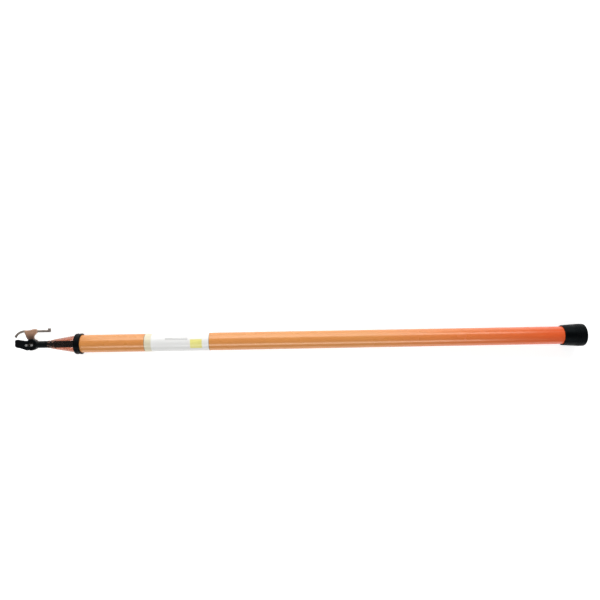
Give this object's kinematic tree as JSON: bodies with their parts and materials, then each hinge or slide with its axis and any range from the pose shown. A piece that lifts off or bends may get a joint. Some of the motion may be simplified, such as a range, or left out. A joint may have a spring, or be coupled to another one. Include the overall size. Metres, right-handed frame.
{
  "type": "telescopic hot stick",
  "caption": "Nested telescopic insulating pole with lock buttons, rubber butt cap, amber nose cone and a bronze disconnect hook that tilts on a serrated head.",
  "frame": {"origin": "centre of the butt cap's flat end face, on the pole's axis", "axes": "+X runs along the pole and out of the butt end, the head points to -X, +Y is the side that the hook rises to, +Z is along the clamp bolt towards the wing nut"},
  "size_m": [1.6075, 0.0766, 0.0628],
  "materials": {
    "orange_fibreglass": "smooth orange fibreglass with a clear gloss coat",
    "amber_plastic": "thin translucent amber-orange moulding",
    "black_rubber": "black moulded rubber with a soft sheen",
    "black_plastic": "black moulded plastic",
    "black_metal": "black coated casting, and blackened steel on the bolt and washer",
    "bronze": "cast bronze, dull and slightly tarnished",
    "steel": "zinc plated steel",
    "brass": "turned brass",
    "nylon": "natural nylon",
    "foam": "closed-cell filling foam",
    "white_film": "white printed film, left bare"
  },
  "bodies": {
    "base": {"base_tube": "orange_fibreglass", "butt_cap": "black_rubber", "butt_bumper": "black_rubber", "base_collar": "black_rubber", "label_wrap": "white_film"},
    "section_2": {"section_2_tube": "orange_fibreglass", "section_2_end_ring": "black_plastic", "section_2_guide_plug": "nylon", "section_2_button_spring": "steel"},
    "section_3": {"section_3_tube": "orange_fibreglass", "section_3_end_ring": "black_plastic", "section_3_guide_plug": "nylon", "section_3_button_spring": "steel"},
    "section_4": {"section_4_tube": "orange_fibreglass", "section_4_end_ring": "black_plastic", "section_4_guide_plug": "nylon", "section_4_button_spring": "steel"},
    "tip": {"tip_tube": "orange_fibreglass", "tip_guide_plug": "nylon", "tip_button_spring": "steel", "tip_foam_core": "foam", "head_ferrule": "black_metal", "ferrule_pin_1": "steel", "ferrule_pin_2": "steel", "head_pin": "steel", "universal_head": "black_metal", "nose_cone": "amber_plastic", "clamp_bolt": "black_metal", "washer": "black_metal"},
    "hook": {"disconnect_hook": "bronze"},
    "nut": {"wing_nut": "steel"},
    "section_2_button": {"section_2_lock_button": "brass"},
    "section_3_button": {"section_3_lock_button": "brass"},
    "section_4_button": {"section_4_lock_button": "brass"},
    "tip_button": {"tip_lock_button": "brass"}
  },
  "joints": [
    {"name": "section_2_slide", "type": "slide", "parent": "base", "child": "section_2", "axis": [-1, 0, 0], "range_m": [0, 1.2917]},
    {"name": "section_3_slide", "type": "slide", "parent": "section_2", "child": "section_3", "axis": [-1, 0, 0], "range_m": [0, 1.2551]},
    {"name": "section_4_slide", "type": "slide", "parent": "section_3", "child": "section_4", "axis": [-1, 0, 0], "range_m": [0, 1.2128]},
    {"name": "tip_slide", "type": "slide", "parent": "section_4", "child": "tip", "axis": [-1, 0, 0], "range_m": [0, 1.1705]},
    {"name": "section_2_button_press", "type": "slide", "parent": "section_2", "child": "section_2_button", "axis": [0, 0, 1], "range_m": [0, 0.0035], "stiffness_N_per_m": 300, "springref_m": -0.003, "deforming": ["section_2_button_spring"]},
    {"name": "section_3_button_press", "type": "slide", "parent": "section_3", "child": "section_3_button", "axis": [0, 0, 1], "range_m": [0, 0.0035], "stiffness_N_per_m": 300, "springref_m": -0.003, "deforming": ["section_3_button_spring"]},
    {"name": "section_4_button_press", "type": "slide", "parent": "section_4", "child": "section_4_button", "axis": [0, 0, 1], "range_m": [0, 0.0035], "stiffness_N_per_m": 300, "springref_m": -0.003, "deforming": ["section_4_button_spring"]},
    {"name": "tip_button_press", "type": "slide", "parent": "tip", "child": "tip_button", "axis": [0, 0, 1], "range_m": [0, 0.0035], "stiffness_N_per_m": 300, "springref_m": -0.003, "deforming": ["tip_button_spring"]},
    {"name": "hook_tilt", "type": "hinge", "parent": "tip", "child": "hook", "pos_m": [-1.5531, 0, 0], "axis": [0, 0, 1], "range_deg": [-15, 180]},
    {"name": "wing_nut_turn", "type": "hinge", "parent": "tip", "child": "nut", "pos_m": [-1.5531, 0, 0], "axis": [0, 0, 1], "continuous": true}
  ]
}
